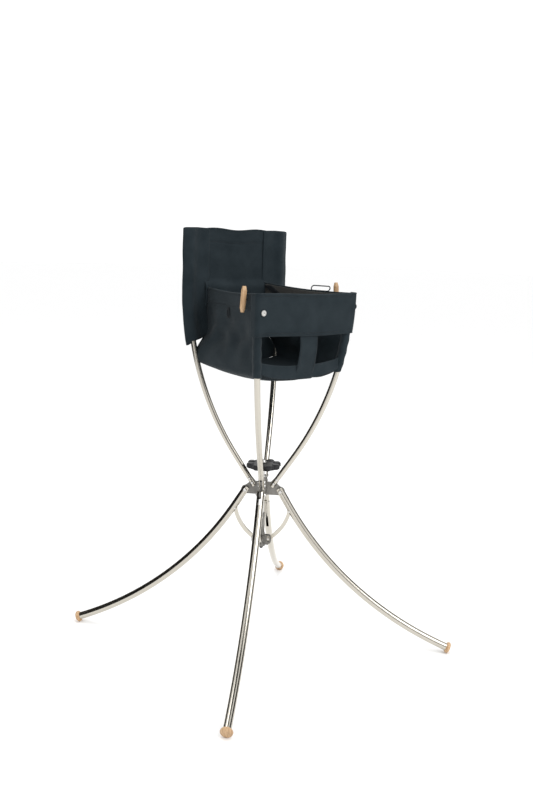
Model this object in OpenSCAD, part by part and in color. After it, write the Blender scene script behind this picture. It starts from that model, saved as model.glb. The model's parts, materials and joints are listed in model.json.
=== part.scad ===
// Folding four-legged stand with a sewn fabric seat.
// Front of the seat faces -Y, the floor is z = 0, and the screw spindle stands on the Z axis.

/* [Legs] */
// Outside diameter of a leg tube
leg_tube_d = 16; // [14:0.5:20]
// Wall of a leg tube
leg_wall = 1.5; // [1:0.25:2.5]
// Lean of a leg from vertical where it leaves the hub, in degrees
leg_top_angle = 31.4; // [26:0.2:36]
// Lean of a leg from vertical at its foot, in degrees
leg_foot_angle = 69.1; // [62:0.1:74]
// Straight length of a leg below its pivot
leg_straight = 36; // [28:1:38]
// Bend radius of a leg's centre line
leg_bend_r = 702; // [540:1:860]
// Diameter of a wooden foot cap
foot_d = 24; // [22:1:30]
// Thickness of a wooden foot cap
foot_t = 9; // [7:0.5:12]

/* [Hub] */
// Distance of the leg pivots from the spindle axis
leg_pivot_r = 38; // [34:1:46]
// Diameter of the centre boss
boss_d = 16; // [14:1:22]
// Height of the centre boss
boss_h = 40; // [34:1:50]
// Thickness of a web plate
web_t = 5; // [4:0.5:6]
// Depth of a web plate at the leg pivot
web_h = 18; // [15:1:20]
// Diameter of the pivot bolts
bolt_d = 5; // [4:0.5:6]

/* [Arms] */
// Outside diameter of an arm tube
arm_tube_d = 12; // [10:0.5:14]
// Wall of an arm tube
arm_wall = 1.2; // [1:0.1:2]
// Distance of an arm's lower bolt from the spindle axis
arm_foot_r = 23.3; // [20:0.5:27]
// Height of an arm's lower bolt above the leg pivots
arm_foot_up = 16; // [14:0.5:22]
// Lean of an arm from vertical at its foot, in degrees
arm_angle = 33.5; // [30:0.5:36]
// Straight length of an arm above its lower bolt
arm_straight = 70; // [50:1:90]
// Bend radius of an arm's centre line
arm_bend_r = 630; // [520:1:760]
// Height of a rear arm above the rim of the seat
back_rise = 120; // [80:1:160]

/* [Screw and links] */
// Diameter of the spindle
spindle_d = 6.5; // [5:0.5:8]
// Diameter of the hand knob
knob_d = 75; // [60:1:78]
// Thickness of the hand knob
knob_t = 11; // [8:0.5:16]
// Height of the middle of the knob above the leg pivots
knob_up = 55.5; // [50:0.5:60]
// Distance of a link's upper pin from the leg pivot, along the leg
link_along = 47; // [42:1:56]
// Distance of the link's upper pin from the tube's centre line, on its inner side
link_inset = 4.5; // [3:0.5:5]
// Distance of the slider's pins from the spindle axis
slider_pin_r = 15; // [14:0.5:18]
// Depth of the slider's pins below the leg pivots
slider_pin_down = 107; // [100:1:116]
// Depth of the link's slot past the middle of the leg tube
slot_past_middle = 4; // [3:0.5:5]
// Width of a link bar
link_w = 8; // [6:0.5:9]
// Thickness of a link bar
link_t = 5; // [4:0.5:6]
// Rise of the arch of a link
link_arch = 8; // [4:0.5:9]
// Diameter of the link pins
pin_d = 4; // [3:0.5:5]

/* [Seat] */
// Thickness of a fabric panel
cloth_t = 3; // [2:0.5:5]
// Thickness of the fabric round an arm
sleeve_t = 2.4; // [1.5:0.1:4]
// Depth of the seat below its rim, at the corners
seat_depth = 152; // [120:1:180]
// Drop of the middle of the seat below its corners
seat_sag = 26; // [10:1:40]
// Height of the front band
band_h = 79; // [60:1:95]
// Height of the lip under the leg openings
lip_h = 20; // [10:1:30]
// Width of the crotch strap
strap_w = 46; // [25:1:60]
// Distance of the side walls' rear seams from the rear arms, along the back
flange_w = 42; // [20:1:60]
// Height of the lining inside the side walls' top edges
hem_h = 28; // [15:1:40]
// Depth of the rear sleeves below the rim
rear_sleeve_drop = 122; // [100:1:140]
// Length of a wooden toggle
toggle_l = 50; // [40:1:60]
// Diameter of a wooden toggle
toggle_d = 11; // [8:0.5:14]
// Diameter of the thin cord
cord_d = 2.4; // [2:0.1:3]

/* [Fits] */
// Radial clearance of a pin or spindle in its hole
run_gap = 0.05; // [0.02:0.01:0.1]
// Side clearance between plates that turn past each other
side_gap = 0.3; // [0.2:0.05:0.5]
// Clearance between fabric and what it lies on
soft_gap = 0.3; // [0.2:0.1:0.6]

/* [Hidden] */
$fn = 64;
eps = 0.01;
// Straight tubes reach 1 mm into bent ones, with this radial step
lap = 0.04;
tube_overlap = 1;

// Corners, as names and directions about Z
CORNERS = [["front_left", 225], ["front_right", 315], ["rear_right", 45], ["rear_left", 135]];
function corner_names(stem) = [for (c = CORNERS) str(stem, c[0])];

// ---- leg line, in its own upright plane: x is the distance from the spindle axis ----
leg_r = leg_tube_d / 2;
foot_edge = foot_t / 2;
leg_drop = leg_straight * cos(leg_top_angle) + leg_bend_r * (sin(leg_foot_angle) - sin(leg_top_angle));
foot_low = foot_edge * cos(leg_foot_angle) + (foot_d / 2 - foot_edge) * sin(leg_foot_angle) + foot_edge;
hub_z = leg_drop + foot_low;
bend_start = [leg_pivot_r + leg_straight * sin(leg_top_angle), hub_z - leg_straight * cos(leg_top_angle)];
leg_bend_c = bend_start + leg_bend_r * [cos(leg_top_angle), sin(leg_top_angle)];
leg_end = leg_bend_c - leg_bend_r * [cos(leg_foot_angle), sin(leg_foot_angle)];
ear_slot_depth = web_h / 2 + 15;

// ---- arm line ----
arm_r = arm_tube_d / 2;
arm_foot = [arm_foot_r, hub_z + arm_foot_up];
arm_bend_start = arm_foot + arm_straight * [sin(arm_angle), cos(arm_angle)];
arm_bend_c = arm_bend_start + arm_bend_r * [-cos(arm_angle), sin(arm_angle)];
post_r_top = arm_bend_c[0] + arm_bend_r;
rim_z = arm_bend_c[1] + 2;
arm_tail = 8;
arm_second_bolt = 11;

// Distance of an arm's centre line from the spindle axis at height z, and half the side of the seat there
function post_r(z) = z >= arm_bend_c[1] ? post_r_top
    : arm_bend_c[0] + arm_bend_r * cos(asin((arm_bend_c[1] - z) / arm_bend_r));
function half(z) = post_r(z) / sqrt(2);

// ---- seat heights ----
seat_z = rim_z - seat_depth;
back_top_z = arm_bend_c[1] + back_rise;
back_low_z = rim_z - rear_sleeve_drop;
sleeve_r = arm_r + 0.1 + sleeve_t;
band_low_z = rim_z - band_h;
panel_end = sleeve_r + 0.2;

// ---- screw ----
spindle_r = spindle_d / 2;
boss_low_z = hub_z - boss_h / 2 + 10;
boss_top_z = boss_low_z + boss_h;
knob_z = hub_z + knob_up;
ring_t = 2.5;

// ---- links and slider ----
leg_dir = [sin(leg_top_angle), -cos(leg_top_angle)];
leg_in = [-cos(leg_top_angle), -sin(leg_top_angle)];
link_top = [leg_pivot_r, hub_z] + link_along * leg_dir + link_inset * leg_in;
link_low = [slider_pin_r, hub_z - slider_pin_down];
link_chord = norm(link_top - link_low);
link_tilt = atan2(link_top[0] - link_low[0], link_top[1] - link_low[1]);
link_arc_r = (link_chord * link_chord / 4 + link_arch * link_arch) / (2 * link_arch);
link_half_angle = asin(link_chord / 2 / link_arc_r);
link_slot_len = link_chord + 14;
eye_r = pin_d / 2 + 3;
slider_z = link_low[1];
cheek_t = 2.5;
cheek_gap = link_t + 2 * side_gap;
slider_miss = 3.4;
block_r = 8;
block_top_z = slider_z + 8;
block_low_z = slider_z - 17;
sleeve_top_z = slider_z + 57;
flange_h = 10;

// =============================== helpers ===============================

// Stands a child that is drawn in the x-z plane of a corner
module at_corner(turn) { rotate([0, 0, turn]) children(); }

// Lays the x-y plane of a child upright, in the x-z plane
module upright() { rotate([90, 0, 0]) children(); }

// A round bar or bore across the plane of a leg or arm, at [x, z]
module cross_pin(at, r, len) { translate([at[0], 0, at[1]]) rotate([90, 0, 0]) cylinder(r = r, h = len, center = true); }

// A straight tube from [x, z], leaning by an angle from vertical; its surface lies a hair inside a bent tube's
module leaning_tube(at, lean, r, wall, len) {
    translate([at[0], 0, at[1]]) rotate([0, lean, 0]) linear_extrude(len) difference() {
        circle(r = r - lap);
        circle(r = r - wall + lap);
    }
}

// A tube bent about a centre, from one polar angle through a sweep
module bent_tube(centre, bend_r, from, sweep, r, wall) {
    translate([centre[0], 0, centre[1]]) upright() rotate([0, 0, from])
        rotate_extrude(angle = sweep, $fn = 180) translate([bend_r, 0]) difference() {
            circle(r = r);
            circle(r = r - wall);
        }
}

// A solid bar on the arms' bend, used to clear round them
module arm_clear(r) {
    translate([arm_bend_c[0], 0, arm_bend_c[1]]) upright() rotate([0, 0, -arm_angle])
        rotate_extrude(angle = arm_angle, $fn = 180) translate([arm_bend_r, 0]) circle(r = r);
}

// A panel that follows the arms between the heights in zs: four corners at each height
module panel(zs, u0, u1, v_in, v_out) {
    n = len(zs);
    points = [for (z = zs) each [
        [u0(z), -v_in(z), z], [u1(z), -v_in(z), z], [u1(z), -v_out(z), z], [u0(z), -v_out(z), z]]];
    sides = [for (i = [0:n - 2]) for (k = [0:3])
        [4 * i + k, 4 * i + 4 + k, 4 * i + 4 + (k + 1) % 4, 4 * i + (k + 1) % 4]];
    polyhedron(points, concat([[0, 1, 2, 3]], sides, [[4 * n - 1, 4 * n - 2, 4 * n - 3, 4 * n - 4]]));
}

// Even steps from a to b
function steps(a, b, n) = [for (i = [0:n]) a + (b - a) * i / n];

// =============================== hub ===============================

module hub_boss() {
    color("darkgray") difference() {
        translate([0, 0, boss_low_z]) cylinder(d = boss_d, h = boss_h);
        translate([0, 0, boss_low_z - 1]) cylinder(r = spindle_r + run_gap, h = boss_h + 2);
    }
}

// One of the four upright plates that carry a leg and an arm
module web(turn) {
    low = hub_z - web_h / 2;
    lug_r = arm_r + 0.5;
    lug = arm_foot + arm_second_bolt * [sin(arm_angle), cos(arm_angle)];
    color("gray") at_corner(turn) difference() {
        upright() linear_extrude(web_t, center = true) union() {
            polygon([[0, low], [leg_pivot_r, low], [leg_pivot_r, low + web_h],
                     [arm_foot[0] + lug_r, arm_foot[1]], [lug[0] + 3, lug[1]], [lug[0] - 6, lug[1] + 2],
                     [arm_foot[0] - lug_r, arm_foot[1] + 3], [0, arm_foot[1] + 3]]);
            translate([leg_pivot_r, hub_z]) circle(d = web_h);
        }
        cylinder(d = boss_d, h = 3 * hub_z, center = true);
        cross_pin([leg_pivot_r, hub_z], bolt_d / 2, 2 * web_t);
        cross_pin(arm_foot, pin_d / 2, 2 * web_t);
        cross_pin(lug, pin_d / 2, 2 * web_t);
    }
}

// A bolt through a tube and a web, with a domed head and a nut
module through_bolt(at, d, tube_r) {
    head_r = 0.8 * d;
    cross_pin(at, d / 2, 2 * tube_r + 2 * side_gap);
    for (side = [-1, 1])
        translate([at[0], side * (tube_r + side_gap / 2), at[1]]) rotate([-90 * side, 0, 0])
            cylinder(r1 = head_r, r2 = 0.7 * head_r, h = 0.45 * d);
}

module leg_pivot_bolts() {
    color("silver") for (c = CORNERS) at_corner(c[1]) through_bolt([leg_pivot_r, hub_z], bolt_d, leg_r);
}

module arm_bolts() {
    color("silver") for (c = CORNERS, s = [0, arm_second_bolt])
        at_corner(c[1]) through_bolt(arm_foot + s * [sin(arm_angle), cos(arm_angle)], pin_d, arm_r);
}

// =============================== arms ===============================

// A straight foot, a long bend and, at the back, a straight upright
module arm_tube(turn, rise) {
    foot_turn = [arm_foot[0], 0, arm_foot[1]];
    arm_dir = [sin(arm_angle), cos(arm_angle)];
    color("lightgray") at_corner(turn) {
        difference() {
            leaning_tube(arm_foot - arm_tail * arm_dir, arm_angle, arm_r, arm_wall,
                arm_straight + arm_tail + tube_overlap);
            translate(foot_turn) rotate([0, arm_angle, 0]) translate([0, 0, 3])
                cube([2 * arm_tube_d, web_t + 2 * run_gap, 2 * (arm_second_bolt + 9)], center = true);
            for (s = [0, arm_second_bolt]) cross_pin(arm_foot + s * arm_dir, pin_d / 2, 2 * arm_tube_d);
        }
        bent_tube(arm_bend_c, arm_bend_r, -arm_angle, arm_angle, arm_r, arm_wall);
        if (rise > 0)
            leaning_tube([post_r_top, arm_bend_c[1] - tube_overlap], 0, arm_r, arm_wall, rise + tube_overlap);
    }
}

// A domed plug in the open top of each arm
module arm_plugs() {
    color([0.1, 0.1, 0.1]) for (c = CORNERS) {
        rise = c[1] < 180 ? back_rise : 0;
        at_corner(c[1]) translate([post_r_top, 0, arm_bend_c[1] + rise]) {
            cylinder(r1 = arm_r, r2 = 0.7 * arm_r, h = 2);
            translate([0, 0, -10]) cylinder(r = arm_r - arm_wall - run_gap, h = 10 + eps);
        }
    }
}

// =============================== legs ===============================

// The leg's own axes at its pivot: z runs down the leg and x points to its inner side
module at_leg_pivot() { translate([leg_pivot_r, 0, hub_z]) rotate([0, 180 - leg_top_angle, 0]) children(); }

// The straight top of a leg, forked round the web plate
module leg_fork() {
    difference() {
        leaning_tube([leg_pivot_r, hub_z] - leg_r * leg_dir, 180 - leg_top_angle, leg_r, leg_wall,
            leg_straight + leg_r + tube_overlap);
        at_leg_pivot() translate([0, 0, (ear_slot_depth - leg_tube_d) / 2])
            cube([2 * leg_tube_d, web_t + 2 * side_gap, ear_slot_depth + leg_tube_d], center = true);
        // rounded ears
        at_leg_pivot() difference() {
            translate([0, 0, -leg_r]) cube([3 * leg_r, 3 * leg_r, 2 * leg_r], center = true);
            rotate([90, 0, 0]) cylinder(r = leg_r + 0.5, h = 4 * leg_r, center = true);
        }
        cross_pin([leg_pivot_r, hub_z], bolt_d / 2 + run_gap, 2 * leg_tube_d);
    }
}

// A leg: the fork, and the long bend with a slot on its inner side into which the link folds
module leg_tube(turn) {
    color("lightgray") at_corner(turn) {
        leg_fork();
        difference() {
            bent_tube(leg_bend_c, leg_bend_r, 180 + leg_top_angle, leg_foot_angle - leg_top_angle, leg_r, leg_wall);
            at_leg_pivot() translate([-slot_past_middle, -cheek_gap / 2, link_along - eye_r - 3])
                cube([leg_tube_d + slot_past_middle, cheek_gap, link_slot_len + eye_r]);
            cross_pin(link_top, pin_d / 2, 2 * leg_tube_d);
        }
    }
}

// A round-edged wooden disc with a spigot in the tube
module foot_cap(turn) {
    color("burlywood") at_corner(turn) translate([leg_end[0], 0, leg_end[1]]) rotate([0, 180 - leg_foot_angle, 0]) {
        translate([0, 0, foot_edge]) rotate_extrude() intersection() {
            union() {
                translate([foot_d / 2 - foot_edge, 0]) circle(r = foot_edge);
                translate([0, -foot_edge]) square([foot_d / 2 - foot_edge, foot_t]);
            }
            translate([0, -foot_t]) square([foot_d, 2 * foot_t]);
        }
        translate([0, 0, -12]) cylinder(r = leg_r - leg_wall - 0.3, h = 12 + eps);
    }
}

module link_pin(turn) {
    color("silver") at_corner(turn) cross_pin(link_top, pin_d / 2, leg_tube_d + 1);
}

// =============================== links ===============================

// An arched flat bar between two eyes, with its hollow side towards the spindle
module link(turn) {
    mid = (link_top + link_low) / 2;
    along = (link_top - link_low) / link_chord;
    out = [along[1], -along[0]];
    centre = mid + (link_arch - link_arc_r) * out;
    from = atan2(out[1], out[0]) - link_half_angle;
    color("lightgray") at_corner(turn) difference() {
        union() {
            translate([centre[0], 0, centre[1]]) upright() rotate([0, 0, from])
                rotate_extrude(angle = 2 * link_half_angle, $fn = 128)
                    translate([link_arc_r - link_w / 2, -link_t / 2]) square([link_w, link_t]);
            cross_pin(link_top, eye_r, link_t);
            cross_pin(link_low, eye_r, link_t);
        }
        cross_pin(link_top, pin_d / 2 + run_gap, 2 * link_t);
        cross_pin(link_low, pin_d / 2, 2 * link_t);
    }
}

module link_end_pin(turn) {
    color("silver") at_corner(turn) cross_pin(link_low, pin_d / 2, cheek_gap + 2 * cheek_t + 1);
}

// =============================== slider ===============================

// The long threaded nut that rides on the spindle
module slider_sleeve() {
    color("darkgray") difference() {
        union() {
            translate([0, 0, sleeve_top_z - flange_h]) cylinder(r = spindle_r + 2, h = flange_h);
            translate([0, 0, block_top_z]) cylinder(r1 = spindle_r + 3.2, r2 = spindle_r + 1.2,
                h = sleeve_top_z - flange_h - block_top_z + eps);
        }
        translate([0, 0, block_low_z]) cylinder(r = spindle_r + run_gap, h = 100);
    }
}

// The block with four pairs of cheeks, slotted where the links' lower pins cross
module slider_block() {
    color("darkgray") difference() {
        union() {
            translate([0, 0, block_low_z]) cylinder(r = block_r, h = block_top_z - block_low_z);
            for (c = CORNERS, side = [-1, 1]) at_corner(c[1])
                translate([0, side * (cheek_gap + cheek_t) / 2, 0]) upright() linear_extrude(cheek_t, center = true)
                    union() {
                        translate([0, block_low_z + 4]) square([slider_pin_r, block_top_z - block_low_z - 4]);
                        translate([slider_pin_r, slider_z - 5]) square([eye_r + 1, block_top_z - slider_z + 5 - eye_r]);
                        translate([slider_pin_r, slider_z - 5]) circle(r = eye_r + 1);
                        translate([slider_pin_r, block_top_z - eye_r - 1]) circle(r = eye_r + 1);
                    }
        }
        translate([0, 0, block_low_z - 1]) cylinder(r = spindle_r + run_gap, h = 100);
        for (c = CORNERS) at_corner(c[1]) {
            translate([slider_pin_r, 0, slider_z]) cube([pin_d + 1.6, 40, 2 * slider_miss], center = true);
            for (dz = [-slider_miss, slider_miss])
                cross_pin([slider_pin_r, slider_z + dz], pin_d / 2 + 0.8, 40);
            translate([slider_pin_r + block_r, 0, slider_z])
                cube([2 * block_r + 2 * (slider_pin_r - block_r - eye_r - 1), cheek_gap, 60], center = true);
        }
    }
}

// The plastic cap that closes the nut from below
module slider_cap() {
    color([0.1, 0.1, 0.1]) translate([0, 0, block_low_z]) {
        translate([0, 0, -5]) cylinder(r1 = 3, r2 = 5, h = 5);
        cylinder(r = spindle_r - run_gap, h = 3);
    }
}

// =============================== spindle and knob ===============================

module spindle() {
    low = block_low_z + 5;
    color("silver") translate([0, 0, low]) cylinder(r = spindle_r, h = knob_z + knob_t / 2 - low);
}

// A hand wheel with eight lobes; the hollows face the arms
module knob() {
    lobes = 8;
    lobe_r = 9;
    ring_r = knob_d / 2 - lobe_r;
    edge = 2.5;
    color([0.08, 0.08, 0.08]) translate([0, 0, knob_z - knob_t / 2]) difference() {
        union() {
            for (i = [0:lobes - 1]) rotate([0, 0, (i + 0.5) * 360 / lobes]) translate([ring_r, 0, 0]) {
                translate([0, 0, edge]) cylinder(r = lobe_r, h = knob_t - 2 * edge);
                cylinder(r1 = lobe_r - edge, r2 = lobe_r, h = edge);
                translate([0, 0, knob_t - edge]) cylinder(r1 = lobe_r, r2 = lobe_r - edge, h = edge);
            }
            cylinder(r = ring_r + 3, h = knob_t - 1.5);
            translate([0, 0, -5]) cylinder(r = 8, h = 6);
        }
        translate([0, 0, -6]) cylinder(r = spindle_r, h = knob_t + 8);
    }
}

module knob_nut() {
    color("silver") translate([0, 0, knob_z + knob_t / 2]) {
        translate([0, 0, 0]) cylinder(r = 6, h = 1.2);
        translate([0, 0, 1.2 - eps]) cylinder(r1 = 5, r2 = 3.5, h = 3.5);
    }
}

// Rings on the spindle that keep it in the boss
module thrust_rings() {
    color("silver") for (z = [boss_low_z - side_gap - ring_t, boss_top_z + side_gap])
        translate([0, 0, z]) difference() {
            cylinder(r = boss_d / 2 - 1, h = ring_t);
            translate([0, 0, -1]) cylinder(r = spindle_r, h = ring_t + 2);
        }
}

// =============================== fabric ===============================

cloth = [0.17, 0.2, 0.22];

// The fabric tube round an arm, from its low end to the rim or the top of the back
module sleeve(turn, low_z, rise) {
    sweep = asin((arm_bend_c[1] - low_z) / arm_bend_r);
    color(cloth) at_corner(turn) {
        bent_tube(arm_bend_c, arm_bend_r, -sweep, sweep, sleeve_r, sleeve_t);
        leaning_tube([post_r_top, arm_bend_c[1] - tube_overlap], 0, sleeve_r, sleeve_t, rise + 2.5 + tube_overlap);
        translate([post_r_top, 0, arm_bend_c[1] + rise + 2.5]) cylinder(r = sleeve_r - 2 * lap, h = 2.5);
    }
}

// Side panel of the seat, drawn at the front
module side_panel(low_z, top_z) {
    zs = steps(low_z, top_z, 6);
    panel(zs, function(z) panel_end - half(z), function(z) half(z) - panel_end,
        function(z) half(z) - cloth_t / 2, function(z) half(z) + cloth_t / 2);
}

// Where a side wall meets the back: out at the rear arm at the bottom, and drawn in to its seam above
function drawn_in(z) = min(1, max(0, (z - seat_z - 8) / 60));
function side_back_x(z) = half(z) - drawn_in(z) * (half(z) - half(rim_z) + flange_w);
function side_back_y(z) = half(z) - sqrt(max(pow(panel_end, 2)
    - pow(max(half(z) - side_back_x(z) - cloth_t / 2, 0), 2), pow(cloth_t / 2 + soft_gap, 2)));

// The middle of a side wall at height z, at the distance y from the middle of the seat
function side_x(z, y) = half(z) - (half(z) - side_back_x(z)) * (y + half(z) - panel_end)
    / (side_back_y(z) + half(z) - panel_end);
side_turn = atan2(flange_w, 2 * half(rim_z) - panel_end - cloth_t / 2 - soft_gap);

// A sheet along the right wall, between two distances from its middle
module side_sheet(low_z, top_z, inner, outer) {
    zs = steps(low_z, top_z, 44);
    n = len(zs);
    points = [for (z = zs) each [
        [side_back_x(z) + inner, side_back_y(z), z], [side_back_x(z) + outer, side_back_y(z), z],
        [half(z) + outer, panel_end - half(z), z], [half(z) + inner, panel_end - half(z), z]]];
    sides = [for (i = [0:n - 2]) for (k = [0:3]) each [
        [4 * i + k, 4 * i + 4 + k, 4 * i + 4 + (k + 1) % 4],
        [4 * i + k, 4 * i + 4 + (k + 1) % 4, 4 * i + (k + 1) % 4]]];
    polyhedron(points, concat([[0, 1, 2, 3]], sides, [[4 * n - 1, 4 * n - 2, 4 * n - 3, 4 * n - 4]]));
}

module right_panel() { color(cloth) side_sheet(seat_z, rim_z, -cloth_t / 2, cloth_t / 2); }
module left_panel() { color(cloth) mirror([1, 0, 0]) right_panel(); }
module back_panel() { color(cloth) rotate([0, 0, 180]) side_panel(seat_z, back_top_z + 4); }
module front_lip() { color(cloth) side_panel(seat_z, seat_z + lip_h); }

// The stiff band across the front, folded round both front arms
module front_band() {
    zs = steps(band_low_z, rim_z, 4);
    gap = sleeve_r + soft_gap;
    wrap = 18;
    color(cloth) {
        panel(zs, function(z) -half(z) - gap - cloth_t, function(z) half(z) + gap + cloth_t,
            function(z) half(z) + gap, function(z) half(z) + gap + cloth_t);
        for (side = [-1, 1])
            panel(zs, function(z) side > 0 ? half(z) + gap : -half(z) - gap - cloth_t,
                function(z) side > 0 ? half(z) + gap + cloth_t : -half(z) - gap,
                function(z) half(z) + gap - wrap, function(z) half(z) + gap);
    }
}

// The hanging bottom of the seat: a shallow open tray of cloth
module seat_base() {
    edge = half(seat_z) + cloth_t / 2;
    floor_half = 0.62 * edge;
    module tray(grow) hull() {
        translate([0, 0, seat_z - soft_gap - eps]) cube([2 * edge - grow, 2 * edge - grow, 2 * eps], center = true);
        translate([0, 0, seat_z - soft_gap - seat_sag + eps])
            cube([2 * floor_half - grow, 2 * floor_half - grow, 2 * eps], center = true);
    }
    color(cloth) difference() {
        tray(0);
        translate([0, 0, cloth_t]) tray(2 * cloth_t);
        translate([0, 0, seat_z + cloth_t / 2 - soft_gap]) cube([3 * edge, 3 * edge, cloth_t], center = true);
        for (c = CORNERS) at_corner(c[1]) arm_clear(sleeve_r + soft_gap);
    }
}

// The webbing that runs down from behind the band to the lip
module crotch_strap() {
    low = seat_z - 4;
    top = band_low_z + 14;
    out = cloth_t / 2 + soft_gap;
    color(cloth) panel(steps(low, top, 4), function(z) -strap_w / 2, function(z) strap_w / 2,
        function(z) half(z) + out, function(z) half(z) + out + cloth_t);
}

// =============================== trim ===============================

// A turned toggle: a straight waist with tapered ends, along z from its middle
module toggle_body() {
    end = 0.16 * toggle_l;
    waist = toggle_l - 2 * end;
    color("burlywood") {
        cylinder(d = toggle_d, h = waist, center = true);
        for (side = [0, 1]) mirror([0, 0, side])
            translate([0, 0, waist / 2 - eps]) cylinder(d1 = toggle_d, d2 = 0.6 * toggle_d, h = end);
    }
}

// Places of the toggles: outside the side walls, behind the front arms
left_toggle_y = -half(rim_z) + 38;
right_toggle_y = -half(rim_z) + 48;
toggle_z = rim_z - 11;
function toggle_x(y) = side_x(toggle_z, y) + cloth_t / 2 + toggle_d / 2 + soft_gap + cord_d + 2;

module toggle_left() {
    translate([-toggle_x(left_toggle_y), left_toggle_y, toggle_z]) rotate([0, 4, 0]) toggle_body();
}
module toggle_right() {
    translate([toggle_x(right_toggle_y), right_toggle_y, toggle_z + 6]) rotate([0, -4, 0]) toggle_body();
}

// A short cord tail from each side wall to its toggle
module toggle_cords() {
    color([0.1, 0.1, 0.1]) for (side = [-1, 1]) {
        y = side < 0 ? left_toggle_y : right_toggle_y;
        wall_x = side_x(toggle_z, y) + cloth_t / 2 + 0.3;
        tail = toggle_x(y) - toggle_d / 2 - wall_x - 0.1;
        translate([side * (wall_x + tail / 2), y, toggle_z]) rotate([0, 90, 0])
            cylinder(d = cord_d, h = tail, center = true);
    }
}

// A small steel snap on the band, at the front left arm
module snap_ring() {
    z = rim_z - 34;
    y = -half(z) - sleeve_r - soft_gap - cloth_t - 0.35;
    color("silver") translate([-half(z) + 4, y, z]) rotate([90, 0, 0]) difference() {
        cylinder(r = 5.5, h = 2);
        translate([0, 0, 1]) cylinder(r = 2.5, h = 2);
    }
}

// A cord loop and its steel end, on the band at the front right arm
module band_clip() {
    z = rim_z - 26;
    x = half(z) + sleeve_r + soft_gap + cloth_t;
    color([0.1, 0.1, 0.1]) translate([x + 1.5, -half(z), z]) {
        rotate([0, 90, 0]) rotate_extrude() translate([5, 0]) circle(d = cord_d - 0.2);
        translate([0, 0, -10]) cylinder(d = 3.4, h = 8, center = true);
    }
}

// A folded ribbon on the left wall
module ribbon_loop() {
    z = rim_z - 44;
    y = 5;
    color([0.1, 0.1, 0.1]) translate([-side_x(z, y) - cloth_t / 2 - 1.1, y, z]) rotate([0, 0, -side_turn])
        difference() {
            cube([1.2, 9, 20], center = true);
            cube([3, 4.5, 13], center = true);
        }
}

// The lighter hem inside the top edge of each side wall
module rim_linings() {
    color([0.3, 0.3, 0.29]) for (side = [0, 1]) mirror([side, 0, 0])
        side_sheet(rim_z - hem_h, rim_z - 0.5, -cloth_t / 2 - soft_gap - 1.2, -cloth_t / 2 - soft_gap);
}

// Webbing sewn slanting to the inside of the right wall, from its rear corner
module inner_strap() {
    inside = cloth_t / 2 + 2 * soft_gap + 1.3;
    color(cloth) translate([side_back_x(rim_z) - inside, side_back_y(rim_z), rim_z]) rotate([0, 0, side_turn])
        rotate([90, 0, -90]) linear_extrude(1.5) polygon([[4, -2], [26, -2], [74, -26], [52, -26]]);
}

// A loop of thin cord standing on the right wall's top edge, which hooks over the right toggle
module rim_loop() {
    length = 38;
    width = 11;
    r = cord_d / 2;
    y = -38;
    color([0.1, 0.1, 0.1]) translate([side_x(rim_z, y), y, rim_z + r + 0.1]) rotate([0, 0, side_turn - 90])
        rotate([65, 0, 0]) translate([0, width / 2, 0]) {
            for (side = [-1, 1]) {
                translate([0, side * width / 2, 0]) rotate([0, 90, 0]) cylinder(r = r, h = length, center = true);
                translate([side * length / 2, 0, 0]) rotate([0, 0, -90 * side])
                    rotate_extrude(angle = 180) translate([width / 2, 0]) circle(r = r);
            }
        }
}

// =============================== nodes ===============================

hub_boss();
leg_pivot_bolts();
arm_bolts();
arm_plugs();
for (c = CORNERS) {
    at_back = c[1] < 180;
    web(c[1]);
    arm_tube(c[1], at_back ? back_rise : 0);
    sleeve(c[1], at_back ? back_low_z : seat_z - 8, at_back ? back_rise : 0);
    leg_tube(c[1]);
    foot_cap(c[1]);
    link_pin(c[1]);
    link(c[1]);
    link_end_pin(c[1]);
}
back_panel();
left_panel();
right_panel();
front_band();
front_lip();
seat_base();
crotch_strap();
toggle_left();
toggle_right();
toggle_cords();
snap_ring();
band_clip();
ribbon_loop();
rim_linings();
inner_strap();
rim_loop();
slider_sleeve();
slider_block();
slider_cap();
spindle();
knob();
knob_nut();
thrust_rings();
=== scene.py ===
# %% [markdown]
# A folding seat stand: four bent chromed legs, four bent arms and a sewn canvas seat.
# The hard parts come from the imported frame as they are. This lesson gives them finishes,
# and makes the canvas, which is only plain solids in the frame.

import json
import math

import bmesh
import bpy
from mathutils import Matrix, Vector, noise


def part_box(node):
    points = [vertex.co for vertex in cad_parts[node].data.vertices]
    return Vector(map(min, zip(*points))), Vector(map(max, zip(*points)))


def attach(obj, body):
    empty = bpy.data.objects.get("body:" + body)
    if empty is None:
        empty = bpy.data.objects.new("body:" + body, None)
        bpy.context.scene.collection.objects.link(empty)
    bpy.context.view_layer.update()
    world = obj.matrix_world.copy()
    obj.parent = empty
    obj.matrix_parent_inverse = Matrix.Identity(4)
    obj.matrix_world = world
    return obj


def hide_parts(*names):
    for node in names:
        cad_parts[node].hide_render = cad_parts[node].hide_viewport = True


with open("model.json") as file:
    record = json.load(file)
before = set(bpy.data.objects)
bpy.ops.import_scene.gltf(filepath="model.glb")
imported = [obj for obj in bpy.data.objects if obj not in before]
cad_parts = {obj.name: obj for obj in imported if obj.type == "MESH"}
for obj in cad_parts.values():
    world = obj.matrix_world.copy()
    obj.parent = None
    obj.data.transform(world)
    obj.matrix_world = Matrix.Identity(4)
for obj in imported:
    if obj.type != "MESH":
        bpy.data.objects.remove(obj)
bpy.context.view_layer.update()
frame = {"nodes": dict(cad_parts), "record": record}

# %% [markdown]
# The camera stands low, in front of the seat and to its left, and looks slightly down.
# It is built from its own three axes, so that a small roll can be given as well.

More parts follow.
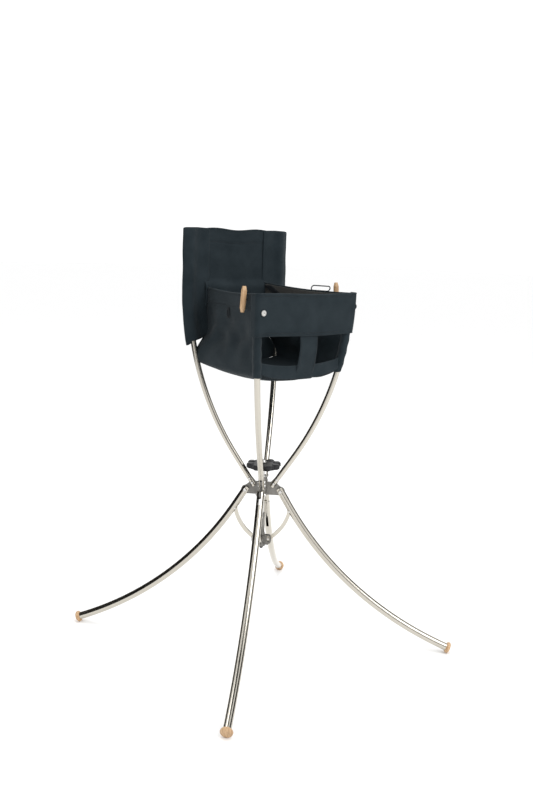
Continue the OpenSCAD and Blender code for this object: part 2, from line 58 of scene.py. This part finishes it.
# %% Camera
yaw, pitch, roll = (math.radians(a) for a in (38.04, -10.0, 1.83))
ahead = Vector((math.cos(pitch) * math.sin(yaw), math.cos(pitch) * math.cos(yaw), math.sin(pitch)))
side = Vector((math.cos(yaw), -math.sin(yaw), 0))
above = side.cross(ahead)
side, above = (side * math.cos(roll) + above * math.sin(roll),
               above * math.cos(roll) - side * math.sin(roll))
cam = bpy.data.objects.new("camera", bpy.data.cameras.new("camera"))
cam.data.sensor_fit = "VERTICAL"
cam.data.sensor_height = 36
cam.data.lens = 39.17
turned = Matrix((side, above, -ahead)).transposed().to_4x4()
cam.matrix_world = Matrix.Translation((-1.1068, -1.4170, 0.8476)) @ turned
bpy.context.scene.collection.objects.link(cam)
bpy.context.scene.camera = cam
print("camera", [round(c, 3) for c in cam.location])

# %% [markdown]
# Where the cloth goes follows from the arms. Each arm is a long bend that ends upright at
# the rim, so half the side of the seat at any height comes from one circle.

# %% Heights and the arms' bend
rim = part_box("left_panel")[1].z
seat_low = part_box("left_panel")[0].z
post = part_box("arm_plugs")[1].x - 0.006
back_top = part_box("back_panel")[1].z
band_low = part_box("front_band")[0].z
bend_r, bend_z = 0.630, rim - 0.002


def half(z):
    """Half the side of the seat, from arm to arm, at height z."""
    if z >= bend_z:
        return post
    return post - (bend_r - math.sqrt(bend_r**2 - (bend_z - z) ** 2)) / math.sqrt(2)


seam_x = post - 0.042
print("rim", round(rim, 3), "half side", round(post, 4), "seam", round(seam_x, 4))

# %% [markdown]
# Every finish is a Principled shader with its own small network. This helper gives one
# with its constant sockets set, ready for the detail nodes.

# %% A shader to start from
def finish(name, color, rough, metal=0.0, **sockets):
    mat = bpy.data.materials.new(name)
    mat.use_nodes = True
    bsdf = mat.node_tree.nodes["Principled BSDF"]
    bsdf.inputs["Base Color"].default_value = (*color, 1)
    bsdf.inputs["Roughness"].default_value = rough
    bsdf.inputs["Metallic"].default_value = metal
    for socket, value in sockets.items():
        bsdf.inputs[socket.replace("_", " ")].default_value = value
    return mat


def node(mat, kind, **values):
    made = mat.node_tree.nodes.new(kind)
    for key, value in values.items():
        name = key.replace("_", " ")
        if name in made.inputs:
            made.inputs[name].default_value = value
        else:
            setattr(made, key, value)
    return made


def wire(mat, out, into):
    mat.node_tree.links.new(out, into)


def place(mat, scale=(1, 1, 1)):
    """Object coordinates, stretched by scale."""
    where = node(mat, "ShaderNodeTexCoord")
    mapped = node(mat, "ShaderNodeMapping", Scale=scale)
    wire(mat, where.outputs["Object"], mapped.inputs["Vector"])
    return mapped.outputs["Vector"]


def bump(mat, height, strength, distance):
    made = node(mat, "ShaderNodeBump", Strength=strength, Distance=distance)
    wire(mat, height, made.inputs["Height"])
    wire(mat, made.outputs["Normal"], mat.node_tree.nodes["Principled BSDF"].inputs["Normal"])


def shades(mat, factor, dark, light, low=0.3, high=0.7):
    """Base colour from dark to light, as factor goes from low to high."""
    ramp = node(mat, "ShaderNodeValToRGB")
    ramp.color_ramp.elements[0].position, ramp.color_ramp.elements[1].position = low, high
    ramp.color_ramp.elements[0].color = (*dark, 1)
    ramp.color_ramp.elements[1].color = (*light, 1)
    wire(mat, factor, ramp.inputs["Fac"])
    wire(mat, ramp.outputs["Color"], mat.node_tree.nodes["Principled BSDF"].inputs["Base Color"])


def roughness_range(mat, factor, low, high):
    spread = node(mat, "ShaderNodeMapRange")
    spread.inputs["To Min"].default_value = low
    spread.inputs["To Max"].default_value = high
    wire(mat, factor, spread.inputs["Value"])
    wire(mat, spread.outputs["Result"], mat.node_tree.nodes["Principled BSDF"].inputs["Roughness"])

# %% [markdown]
# Chromed tube is bright, slightly warm and almost a mirror. Handling leaves faint smears,
# so a noise moves the roughness a little, and a fine one ripples the surface.

# %% Chrome
chrome = finish("chrome tube", (0.53, 0.50, 0.44), 0.12, 1.0)
smear = node(chrome, "ShaderNodeTexNoise", Scale=38.0, Detail=4.0)
wire(chrome, place(chrome), smear.inputs["Vector"])
roughness_range(chrome, smear.outputs["Fac"], 0.07, 0.24)
bump(chrome, smear.outputs["Fac"], 0.03, 0.0004)

# %% [markdown]
# The hub and the slider are cast and tumbled, so they are grey and grainy, and darker in
# patches. The bolts and pins are plain bright steel with fine turning marks.

# %% Hub metal and steel
hub_metal = finish("tumbled casting", (0.42, 0.41, 0.39), 0.42, 0.9)
grain = node(hub_metal, "ShaderNodeTexNoise", Scale=420.0, Detail=5.0)
patch = node(hub_metal, "ShaderNodeTexNoise", Scale=46.0, Detail=3.0)
where = place(hub_metal)
wire(hub_metal, where, grain.inputs["Vector"])
wire(hub_metal, where, patch.inputs["Vector"])
shades(hub_metal, patch.outputs["Fac"], (0.13, 0.125, 0.115), (0.30, 0.29, 0.27))
roughness_range(hub_metal, grain.outputs["Fac"], 0.3, 0.58)
bump(hub_metal, grain.outputs["Fac"], 0.25, 0.0003)

steel = finish("bright steel", (0.62, 0.61, 0.59), 0.28, 1.0)
turning = node(steel, "ShaderNodeTexWave", Scale=260.0, Distortion=1.5, Detail=2.0)
wire(steel, place(steel), turning.inputs["Vector"])
roughness_range(steel, turning.outputs["Fac"], 0.2, 0.36)
bump(steel, turning.outputs["Fac"], 0.1, 0.0001)

# %% [markdown]
# Moulded black plastic has a low satin gloss and a faint leathery grain.

# %% Black plastic
plastic = finish("black moulding", (0.012, 0.012, 0.013), 0.38, Specular_IOR_Level=0.22)
grain = node(plastic, "ShaderNodeTexVoronoi", Scale=900.0)
rub = node(plastic, "ShaderNodeTexNoise", Scale=55.0, Detail=3.0)
where = place(plastic)
wire(plastic, where, grain.inputs["Vector"])
wire(plastic, where, rub.inputs["Vector"])
shades(plastic, rub.outputs["Fac"], (0.009, 0.009, 0.010), (0.022, 0.022, 0.024))
roughness_range(plastic, rub.outputs["Fac"], 0.3, 0.5)
bump(plastic, grain.outputs["Distance"], 0.2, 0.0002)

# %% [markdown]
# The feet and toggles are pale turned wood under a thin lacquer. Stretched noise makes the
# streaks of the grain, and a tight wave the fine pores.

# %% Wood
wood = finish("turned wood", (0.5, 0.33, 0.18), 0.45, Coat_Weight=0.25, Coat_Roughness=0.25)
streak = node(wood, "ShaderNodeTexNoise", Scale=1.0, Detail=6.0, Roughness=0.65)
pore = node(wood, "ShaderNodeTexWave", Scale=90.0, Distortion=6.0, Detail=3.0)
wire(wood, place(wood, (420, 420, 36)), streak.inputs["Vector"])
wire(wood, place(wood, (1, 1, 0.12)), pore.inputs["Vector"])
shades(wood, streak.outputs["Fac"], (0.30, 0.165, 0.075), (0.62, 0.42, 0.235))
roughness_range(wood, streak.outputs["Fac"], 0.38, 0.58)
bump(wood, pore.outputs["Fac"], 0.15, 0.0003)

# %% [markdown]
# The canvas is a plain weave. Two crossed waves at the thread's pitch make the weave, one
# broad noise makes the cloth uneven in colour, and sheen lifts its edges as lint does.

# %% Canvas
def canvas(name, dark, light, pitch, rough=0.85, sheen=0.25):
    mat = finish(name, light, rough, Sheen_Weight=sheen, Sheen_Roughness=0.5,
                 Specular_IOR_Level=0.18)
    where = place(mat)
    threads = 2 * math.pi / (20 * pitch)
    over = node(mat, "ShaderNodeTexWave", Scale=threads, bands_direction="Z", Distortion=0.6)
    along = node(mat, "ShaderNodeTexWave", Scale=threads, bands_direction="DIAGONAL",
                 Distortion=0.6)
    slub = node(mat, "ShaderNodeTexNoise", Scale=24.0, Detail=6.0, Roughness=0.6)
    for texture in (over, along, slub):
        wire(mat, where, texture.inputs["Vector"])
    weave = node(mat, "ShaderNodeMath", operation="MULTIPLY")
    wire(mat, over.outputs["Fac"], weave.inputs[0])
    wire(mat, along.outputs["Fac"], weave.inputs[1])
    both = node(mat, "ShaderNodeMath", operation="ADD")
    wire(mat, weave.outputs[0], both.inputs[0])
    wire(mat, slub.outputs["Fac"], both.inputs[1])
    shades(mat, slub.outputs["Fac"], dark, light, 0.25, 0.75)
    bump(mat, both.outputs[0], 0.35, 0.0006)
    return mat


CANVAS_THREAD = 0.0009
seat_canvas = canvas("slate canvas", (0.006, 0.012, 0.016), (0.015, 0.023, 0.028), CANVAS_THREAD,
                     sheen=0.05)
# The lining is the seat canvas painted lighter, as painted light falling on its inner faces; its
# warmer tone is its own.
lining_painted_lighter = canvas("canvas lining painted lighter", (0.030, 0.030, 0.028), (0.052, 0.051, 0.048), CANVAS_THREAD,
                       sheen=0.12)
webbing = canvas("black webbing", (0.004, 0.006, 0.008), (0.010, 0.012, 0.015), 0.0016, 0.7, 0.05)
thread = canvas("sewing thread", (0.008, 0.011, 0.014), (0.019, 0.023, 0.027), 0.0004, 0.6, 0.08)

# %% [markdown]
# Each hard part takes the finish of its slot in the frame's record.

# %% Finish the hard parts
finishes = {"chrome": chrome, "hub_metal": hub_metal, "steel": steel, "black_plastic": plastic,
            "wood": wood, "canvas": seat_canvas, "lining": lining_painted_lighter, "cord": webbing}
for part in frame["record"]["subparts"]:
    piece = frame["nodes"][part["node"]]
    for painted in piece.material_slots:
        painted.material = finishes[part["material_slot"]]

# %% [markdown]
# Cloth pieces are grids of points from a rule, given a wall with Solidify and softened
# with one subdivision. A cloth piece may also close on itself, as a sleeve does.

# %% A cloth maker
def ripple(p, size, depth, seed=0.0):
    """A smooth, repeatable unevenness at a point."""
    return depth * noise.noise(Vector(p) / size + Vector((seed, seed * 0.7, -seed)))


def link_up(name, data):
    """A new object in the scene."""
    made = bpy.data.objects.new(name, data)
    bpy.context.scene.collection.objects.link(made)
    return made


def evaluated(maker):
    """The mesh that an object's modifiers or bevel make."""
    bpy.context.view_layer.update()
    depsgraph = bpy.context.evaluated_depsgraph_get()
    return bpy.data.meshes.new_from_object(maker.evaluated_get(depsgraph))


def paint(mesh, mat):
    """One material, smooth all over."""
    mesh.materials.clear()
    mesh.materials.append(mat)
    for polygon in mesh.polygons:
        polygon.use_smooth = True


def cloth(name, rule, across, along, wall, mat, body, stands_for=(), loop=False):
    """A piece of cloth from a rule that gives a point for u across and v along, both 0 to 1."""
    points, faces = [], []
    turns = across if loop else across + 1
    for j in range(along + 1):
        for i in range(turns):
            points.append(rule(i / across, j / along))
    for j in range(along):
        for i in range(across):
            a, b = j * turns + i, j * turns + (i + 1) % turns
            faces.append((a, b, b + turns, a + turns))
    if loop:
        faces.append(tuple(reversed(range(turns))))
        faces.append(tuple(along * turns + i for i in range(turns)))
    mesh = bpy.data.meshes.new(name)
    mesh.from_pydata(points, [], faces)
    bm = bmesh.new()
    bm.from_mesh(mesh)
    bmesh.ops.recalc_face_normals(bm, faces=bm.faces)
    bm.to_mesh(mesh)
    bm.free()
    piece = link_up(name, mesh)
    if not loop:
        thick = piece.modifiers.new("wall", "SOLIDIFY")
        thick.thickness, thick.offset = wall, 0
    soft = piece.modifiers.new("soft", "SUBSURF")
    soft.levels = soft.render_levels = 1
    done = evaluated(piece)
    piece.modifiers.clear()
    piece.data = done
    paint(done, mat)
    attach(piece, body)
    if stands_for:
        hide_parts(*stands_for)
    print(name, len(done.polygons), "faces")
    return piece


def mix(a, b, t):
    return a + (b - a) * t


def ease(t):
    t = min(1.0, max(0.0, t))
    return t * t * (3 - 2 * t)

# %% [markdown]
# The side walls run in to the seams of the rear sleeves, and lower down they come out again
# to the arms. The back is one panel stretched between two deep sleeves. It is flat at the
# top, and rolls forward just above the rim, where the seat pulls at it.

# %% Side walls' plan and the back panel
sag = seat_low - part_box("seat_base")[0].z - 0.001
PULLED_OVER = 0.06  # height over which the walls come in
HEM = 0.027  # depth of the hems of the back and the side walls
CANVAS_WALL = 0.0022
CURVE = 2.6  # how square the hanging cloth is
SEAM_LAP = 0.006
POCKET_EDGE = 0.019  # how far a pocket reaches outside its arm


def wall_x(z, v):
    """How far from the middle a side wall is, at height z and depth v from front to back."""
    pulled = ease((z - seat_low - 0.008) / PULLED_OVER)
    rear = mix(half(z) - 0.001, seam_x - 0.002, pulled)
    return mix(half(z) + 0.0005, rear, v)


def back_rule(u, v):
    low = seat_low - 0.42 * sag * (1 - abs(2 * u - 1) ** CURVE)
    z = mix(low, back_top, v)
    side_to = max(seam_x + SEAM_LAP, wall_x(z, 1) + 0.003)
    x = mix(-side_to, side_to, u)
    y = half(z) + 0.001
    roll_in = ease((rim + 0.018 - z) / 0.016) * ease((z - rim + 0.05) / 0.03)
    y -= 0.008 * roll_in
    up = min(1, max(0, (z - rim) / (back_top - rim)))
    slack = math.sin(math.pi * u) * math.sin(math.pi * up)
    y += 0.004 * slack + ripple((x, 0, z * 0.6), 0.045, 0.0022, 3) * (0.3 + slack)
    y += 0.0012 * math.exp(-(((z - back_top + HEM) / 0.0022) ** 2))
    z += 0.0018 * math.sin(3 * math.pi * u) * v * v
    return (x, y, z)


back = cloth("back_cloth", back_rule, 44, 72, CANVAS_WALL, seat_canvas, "frame",
             ["back_panel"])

# %% [markdown]
# Each rear sleeve is a flat pocket: it swells where it holds the arm, and reaches from the
# seam with the back panel to an outer edge. Its open end is cut at a slant, so that the bare
# arm comes out of it.

# %% Rear sleeves
def pocket_ring(s, x, y, out):
    """A point round a pocket: s runs along its front to the outer edge, and back at its rear."""
    t = 2 * s if s < 0.5 else 2 - 2 * s
    seam, edge = seam_x - SEAM_LAP, abs(x) + POCKET_EDGE
    across = mix(seam, edge, t)
    closed = min(1, max(0, 1 - (2 * t - 1) ** 12))
    bulge = 0.0016 * closed + 0.0076 * math.exp(-(((across - abs(x)) / 0.0125) ** 2))
    return out * across, y + (-bulge if s < 0.5 else bulge)


def rear_sleeve(name, out, node_name):
    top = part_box(node_name)[1].z + 0.001
    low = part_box(node_name)[0].z

    def rule(u, v):
        z_mid = mix(low, top, v)
        x, y = pocket_ring(u, out * half(z_mid), half(z_mid), out)
        inward = max(0.0, half(z_mid) + POCKET_EDGE - abs(x))
        cut = (0.42 * inward + (0.008 if y < half(z_mid) else 0.0)) * (1 - v) ** 6
        y += ripple((x, 0, z_mid), 0.03, 0.0016, 5 + out)
        x += ripple((y, z_mid * 0.5, x), 0.05, 0.0010, 8 + out)
        return (x, y, z_mid + cut)

    return cloth(name, rule, 64, 56, 0, seat_canvas, "frame", [node_name], loop=True)


rear_sleeve("rear_left_pocket", -1, "sleeve_rear_left")
rear_sleeve("rear_right_pocket", 1, "sleeve_rear_right")

# %% [markdown]
# The front sleeves are snug tubes on the front arms, with a narrow flange sewn to the side.

# %% Front sleeves
def front_sleeve(name, out, node_name):
    top, low = rim - 0.001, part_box(node_name)[0].z

    def rule(u, v):
        z = mix(low, top, v)
        x, y = out * half(z), -half(z)
        a = 2 * math.pi * u
        r = 0.0084 + 0.0006 * math.sin(z * 260 + a)
        tail = 0.006 * max(0.0, math.sin(a)) ** 3
        return (x + r * math.cos(a) * out, y + (r + tail) * math.sin(a), z)

    return cloth(name, rule, 24, 44, 0, seat_canvas, "frame", [node_name], loop=True)


front_sleeve("front_left_pocket", -1, "sleeve_front_left")
front_sleeve("front_right_pocket", 1, "sleeve_front_right")

# %% [markdown]
# The seat bag is one sling: down one side, across under the sitter, and up the other.
# Loose cloth falls into slanting folds.

# %% Seat bag
WALL_PART = 0.36  # share of the sling's half width that is the bottom
BAG_LIFT = 0.002


def folds(y, z, seed):
    slant = (z - seat_low) * 0.75 + y * 0.55
    down = min(1, max(0, (rim - 0.02 - z) / (rim - 0.02 - seat_low)))
    envelope = math.sin(math.pi * down) ** 0.8
    wave = math.sin(slant * 118 + 5 * noise.noise(Vector((y * 9, z * 9, seed))))
    return envelope * (0.0017 * wave + ripple((y, z, seed), 0.042, 0.0075, seed))


def bag_rule(u, v):
    s = 2 * u - 1
    out = -1 if s < 0 else 1
    t = (abs(s) - WALL_PART) / (1 - WALL_PART)
    rear_y = 0.0012
    if t >= 0:
        z = mix(seat_low + BAG_LIFT, rim, t)
        x = wall_x(z, v)
        depth = mix(-half(z) + 0.004, half(z) - rear_y, v)
        x += folds(depth, z, 2.0 + out) * math.sin(math.pi * v) ** 0.5
        x += 0.0014 * ease((z - rim + HEM) / 0.004)
        z += ((0.010 * v if out > 0 else 0) - 0.004 * math.sin(math.pi * v)) * t
        return (out * x, depth, z)
    k = abs(s) / WALL_PART
    z0 = seat_low + BAG_LIFT
    x = wall_x(z0, v) * math.sin(k * math.pi / 2)
    belly = math.sin(math.pi * min(1, 0.18 + 0.82 * v)) ** 0.7
    drop = sag * (1 - k**CURVE) * (0.35 + 0.65 * belly)
    y = mix(-half(z0) + 0.004, half(z0) - rear_y, v)
    dip = ripple((x * out, y, 0.1), 0.04, 0.003, 11) * (1 - k)
    return (out * x, y, z0 - drop + dip)


bag = cloth("seat_bag", bag_rule, 110, 64, CANVAS_WALL, seat_canvas, "frame",
            ["left_panel", "right_panel", "seat_base"])

# %% [markdown]
# The lip closes the bag's front edge under the leg openings, and dips with it.

# %% Front lip
def lip_rule(u, v):
    x = mix(-1, 1, u)
    z = mix(seat_low - 0.002, seat_low + 0.020, v)
    belly = 1 - abs(x) ** CURVE
    z -= sag * 0.55 * belly * (1 - 0.25 * v)
    y = -half(seat_low + 0.02) - 0.0012 - 0.002 * belly
    return (x * (half(z) - 0.004), y + ripple((x, 0, z * 4), 0.2, 0.0015, 4), z)


cloth("front_lip_cloth", lip_rule, 48, 8, 0.0026, seat_canvas, "frame", ["front_lip"])

# %% [markdown]
# The front band is stiffened, so it is smooth, and it folds tightly round both arms. Its
# rule walks round the fold: back along one side, round a small corner and across.

# %% Front band
BAND_OUT = 0.0094  # from the arms to the band
WRAP = 0.018  # how far the band folds back
BAND_CORNER = 0.006


def band_plan(u, z):
    """A point along the band seen from above, for u from 0 to 1."""
    h = half(z) + BAND_OUT
    r = BAND_CORNER
    straight, corner = WRAP - r, r * math.pi / 2
    total = 2 * (straight + corner) + 2 * (h - r)
    d = u * total
    mirrored = d > total / 2
    d = total - d if mirrored else d
    if d < straight:
        x, y = -h, -h + WRAP - d
    elif d < straight + corner:
        a = (d - straight) / r
        x, y = -h + r - r * math.cos(a), -h + r - r * math.sin(a)
    else:
        x, y = -h + r + d - straight - corner, -h
    return (-x if mirrored else x), y


def band_rule(u, v):
    z = mix(band_low, rim, v)
    x, y = band_plan(u, z)
    y -= 0.0012 * math.sin(math.pi * u) + ripple((x, 0, z), 0.09, 0.0012, 6)
    z += 0.0012 * math.sin(2.2 * math.pi * u + 0.6)
    return (x, y, z)


band = cloth("front_band_cloth", band_rule, 120, 20, 0.0028, seat_canvas, "frame",
             ["front_band"])

# %% [markdown]
# A wide strap joins the band to the lip and leaves a leg opening on each side of it.

# %% Crotch strap
strap_low, strap_high = seat_low - 0.7 * sag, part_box("crotch_strap")[1].z
strap_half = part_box("crotch_strap")[1].x


def strap_rule(u, v):
    z = mix(strap_low, strap_high, v)
    x = mix(-strap_half, strap_half, u) * (1 - 0.05 * math.sin(math.pi * v)) + 0.008
    under = ease((seat_low + 0.004 - z) / 0.03)
    y = -half(max(z, seat_low)) - 0.0046 - 0.006 * math.sin(math.pi * v) + 0.002 * under
    return (x, y + ripple((x, 0, z), 0.03, 0.0012, 7), z)


cloth("crotch_strap_cloth", strap_rule, 16, 30, 0.0024, seat_canvas, "frame",
      ["crotch_strap"])

# %% [markdown]
# Inside the top edge of each side wall there is a lining, painted lighter for the light that falls
# on it, and on the right one a dark webbing is sewn across it, slanting down from the rear corner.

# %% Linings and the inner strap
lining_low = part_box("rim_linings")[0].z


def wall_point(out, y_part, z, inside):
    """A point beside a side wall, moved inside it."""
    t = (z - seat_low - BAG_LIFT) / (rim - seat_low - BAG_LIFT)
    s = mix(WALL_PART, 1, t)
    x, y, seen_z = bag_rule(0.5 + out * s / 2, y_part)
    return (x - out * inside, y, seen_z)


def lining(name, out, stands_for=()):
    def rule(u, v):
        return wall_point(out, mix(0.03, 0.97, u), mix(lining_low, rim - 0.001, v), 0.0022)

    return cloth(name, rule, 64, 12, 0.0012, lining_painted_lighter, "frame", stands_for)


left_lining = lining("left_lining", -1, ["rim_linings"])
right_lining = lining("right_lining", 1)


def inner_strap_rule(u, v):
    z = mix(rim - 0.002, rim - 0.027, v) - 0.002 * (1 - u)
    y_part = mix(0.935, 0.73, v) - mix(-0.055, 0.055, u)
    return wall_point(1, y_part, z, 0.0042)


cloth("inner_strap_webbing", inner_strap_rule, 8, 30, 0.0014, webbing, "frame",
      ["inner_strap"])

# %% [markdown]
# Stitches repeat, so Geometry Nodes make them: points along a line, one short thread on
# each, turned along the line. Realize Instances makes them real before they are kept.

# %% Stitch tree
def stitch_tree():
    tree = bpy.data.node_groups.new("stitches", "GeometryNodeTree")
    face = tree.interface
    face.new_socket("Geometry", in_out="INPUT", socket_type="NodeSocketGeometry")
    for title, value in (("Pitch", 0.0042), ("Stitch length", 0.0026), ("Thread radius", 0.00035)):
        face.new_socket(title, in_out="INPUT", socket_type="NodeSocketFloat").default_value = value
    face.new_socket("Geometry", in_out="OUTPUT", socket_type="NodeSocketGeometry")
    make, link = tree.nodes.new, tree.links.new
    source, sink = make("NodeGroupInput"), make("NodeGroupOutput")
    spread = make("GeometryNodeResampleCurve")
    spread.mode = "LENGTH"
    link(source.outputs["Geometry"], spread.inputs["Curve"])
    link(source.outputs["Pitch"], spread.inputs["Length"])
    dots = make("GeometryNodeCurveToPoints")
    dots.mode = "EVALUATED"
    link(spread.outputs["Curve"], dots.inputs["Curve"])
    bit = make("GeometryNodeMeshCylinder")
    bit.inputs["Vertices"].default_value = 6
    link(source.outputs["Thread radius"], bit.inputs["Radius"])
    link(source.outputs["Stitch length"], bit.inputs["Depth"])
    put = make("GeometryNodeInstanceOnPoints")
    link(dots.outputs["Points"], put.inputs["Points"])
    link(bit.outputs["Mesh"], put.inputs["Instance"])
    link(dots.outputs["Rotation"], put.inputs["Rotation"])
    real, paint = make("GeometryNodeRealizeInstances"), make("GeometryNodeSetMaterial")
    link(put.outputs["Instances"], real.inputs["Geometry"])
    link(real.outputs["Geometry"], paint.inputs["Geometry"])
    paint.inputs["Material"].default_value = thread
    link(paint.outputs["Geometry"], sink.inputs["Geometry"])
    return tree


stitches = stitch_tree()


def drawn(name, lines):
    """An object with a curve along each list of points."""
    curve = bpy.data.curves.new(name, "CURVE")
    curve.dimensions = "3D"
    for line in lines:
        spline = curve.splines.new("POLY")
        spline.points.add(len(line) - 1)
        for point, p in zip(spline.points, line):
            point.co = (*p, 1)
    return link_up(name + "_line", curve)


def sew(name, lines):
    """Rows of stitches along lists of points, as one piece."""
    maker = drawn(name, lines)
    maker.modifiers.new("stitches", "NODES").node_group = stitches
    mesh = evaluated(maker)
    bpy.data.objects.remove(maker)
    sewn = link_up(name, mesh)
    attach(sewn, "frame")
    print(name, len(mesh.polygons), "faces")


def along_rule(rule, steps, where, shift=(0, 0, 0)):
    """Points of a cloth rule: where(t) gives u and v, and shift moves them off the cloth."""
    return [tuple(Vector(rule(*where(i / steps))) + Vector(shift)) for i in range(steps + 1)]

# %% [markdown]
# A hem across the back, a seam down each of its sides, a hem round the sides of the bag
# and rows along the band and the straps are where this seat is sewn.

# %% Sew the seams
hem_v = (back_top - HEM - seat_low) / (back_top - seat_low)
front_face, rear_face = (0, -0.0016, 0), (0, 0.0016, 0)
sew("back_hem_stitches", [
    along_rule(back_rule, 60, lambda t: (t, hem_v), front_face),
    along_rule(back_rule, 60, lambda t: (t, hem_v), rear_face)])
sew("back_seam_stitches", [
    along_rule(back_rule, 80, lambda t, u=u: (u, mix(0.4, 0.995, t)), shift)
    for u in (0.035, 0.965) for shift in (front_face, rear_face)])
wall_hem = mix(WALL_PART, 1, 1 - HEM / (rim - seat_low))
sew("side_hem_stitches", [
    along_rule(bag_rule, 60, lambda t, s=s: (0.5 + s * wall_hem / 2, mix(0.03, 0.97, t)),
               (s * 0.0016, 0, 0)) for s in (-1, 1)])
sew("band_edge_stitches", [
    along_rule(band_rule, 110, lambda t, v=v: (mix(0.07, 0.93, t), v), (0, -0.0018, 0))
    for v in (0.06, 0.95)])
sew("strap_edge_stitches", [
    along_rule(strap_rule, 40, lambda t, u=u: (u, mix(0.03, 0.72, t)), (0, -0.0016, 0))
    for u in (0.08, 0.92)])
sew("webbing_stitches", [
    along_rule(inner_strap_rule, 40, lambda t, u=u: (u, t), (-0.001, 0, 0)) for u in (0.14, 0.86)])

# %% [markdown]
# Raw canvas is bound or rolled at its free edges. A thin piping along the band's top and
# the bag's rim gives those edges the round highlight that a rolled hem has.

# %% Rolled edges
def piping(name, line, r):
    """A round roll of canvas along a list of points."""
    maker = drawn(name, [line])
    maker.data.bevel_depth = r
    maker.data.bevel_resolution = 3
    maker.data.use_fill_caps = True
    mesh = evaluated(maker)
    bpy.data.objects.remove(maker)
    paint(mesh, seat_canvas)
    piece = link_up(name, mesh)
    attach(piece, "frame")


piping("band_top_roll", along_rule(band_rule, 120, lambda t: (t, 1.0)), 0.0019)
piping("band_low_roll", along_rule(band_rule, 120, lambda t: (t, 0.0)), 0.0018)
for s, label in ((-1, "left"), (1, "right")):
    piping(label + "_rim_roll", along_rule(bag_rule, 60, lambda t, s=s: (0.5 + s / 2, t)), 0.0020)
piping("back_top_roll", along_rule(back_rule, 60, lambda t: (t, 1.0), (0, 0, -0.001)), 0.0020)
piping("lip_top_roll", along_rule(lip_rule, 48, lambda t: (t, 1.0)), 0.0018)

# %% [markdown]
# Each sheet's cut size is worked out and printed. A rectangle from the frame's sizes
# gives the proportions. It is enlarged where the piece's own surface is larger, and where
# the surface is smaller, the cut isn't a rectangle and its area is the surface's.

def declare(piece, width, length):
    area = sum(p.area for p in piece.data.polygons) / 2
    grow = math.sqrt(max(1.0, area / (width * length)))
    width, length = width * grow, length * grow
    print(piece.name, "cut", round(width, 3), round(length, 3), "area", round(area, 4))


declare(back, 2 * seam_x + 0.008, back_top - seat_low)
declare(bag, 2 * (rim - seat_low) + 2 * post, 2 * post)
declare(band, 2 * (post + WRAP), rim - band_low)
for piece in (right_lining, left_lining):
    declare(piece, 2 * post, rim - lining_low)

# %% [markdown]
# A pale floor and soft light from above and in front, as in a studio. Dark screens stand
# round it and hang above it, and show only in reflections: chrome looks like chrome
# because it has something dark to mirror.

# %% Floor, lights and dark screens
def flat(name, corners, color, rough):
    mesh = bpy.data.meshes.new(name)
    mesh.from_pydata(corners, [], [tuple(range(len(corners)))])
    piece = link_up(name, mesh)
    mesh.materials.append(finish(name, color, rough))
    return piece


flat("floor", [(-30, -30, 0), (30, -30, 0), (30, 30, 0), (-30, 30, 0)], (0.9, 0.9, 0.9), 0.9)


def dark_screen(label, corners):
    """A black sheet that is seen only in what mirrors it."""
    screen = flat(f"dark_screen_{label}", corners, (0.004, 0.004, 0.004), 1.0)
    screen.visible_camera = screen.visible_diffuse = screen.visible_shadow = False


# turn from the camera's direction in degrees, distance, half width, low edge and high edge
SCREENS = ((-75, 1.9, 1.3, 0.02, 1.7), (-118, 2.2, 0.9, 0.1, 2.4), (70, 2.2, 0.8, 0.2, 1.9),
           (168, 2.4, 0.5, 0.2, 1.7), (-28, 3.2, 0.35, 0.2, 1.6))
for n, (turn, away, across, low, high) in enumerate(SCREENS):
    base = Matrix.Rotation(-yaw - math.radians(turn), 4, "Z")
    outline = ((-across, low), (across, low), (across, high), (-across, high))
    dark_screen(n, [tuple(base @ Vector((x, away, z))) for x, z in outline])
dark_screen("roof", [(-0.7, -0.9, 2.4), (0.9, -0.9, 2.4), (0.9, 0.3, 2.4), (-0.7, 0.3, 2.4)])

world = bpy.data.worlds.new("studio")
world.use_nodes = True
world.node_tree.nodes["Background"].inputs["Color"].default_value = (1, 1, 1, 1)
world.node_tree.nodes["Background"].inputs["Strength"].default_value = 1.1
bpy.context.scene.world = world


def soft_light(name, at, aim, size, watts):
    lamp = bpy.data.lights.new(name, "AREA")
    lamp.size, lamp.energy = size, watts
    made = link_up(name, lamp)
    made.location = at
    made.rotation_euler = (Vector(aim) - Vector(at)).to_track_quat("-Z", "Y").to_euler()


soft_light("key", (0.5, -2.2, 2.3), (0, 0, 0.6), 1.4, 32)
soft_light("top", (0.2, 0.4, 2.8), (0, 0, 0.6), 1.8, 24)
print("studio set")

# %% Colour
bpy.context.scene.view_settings.view_transform = "Standard"
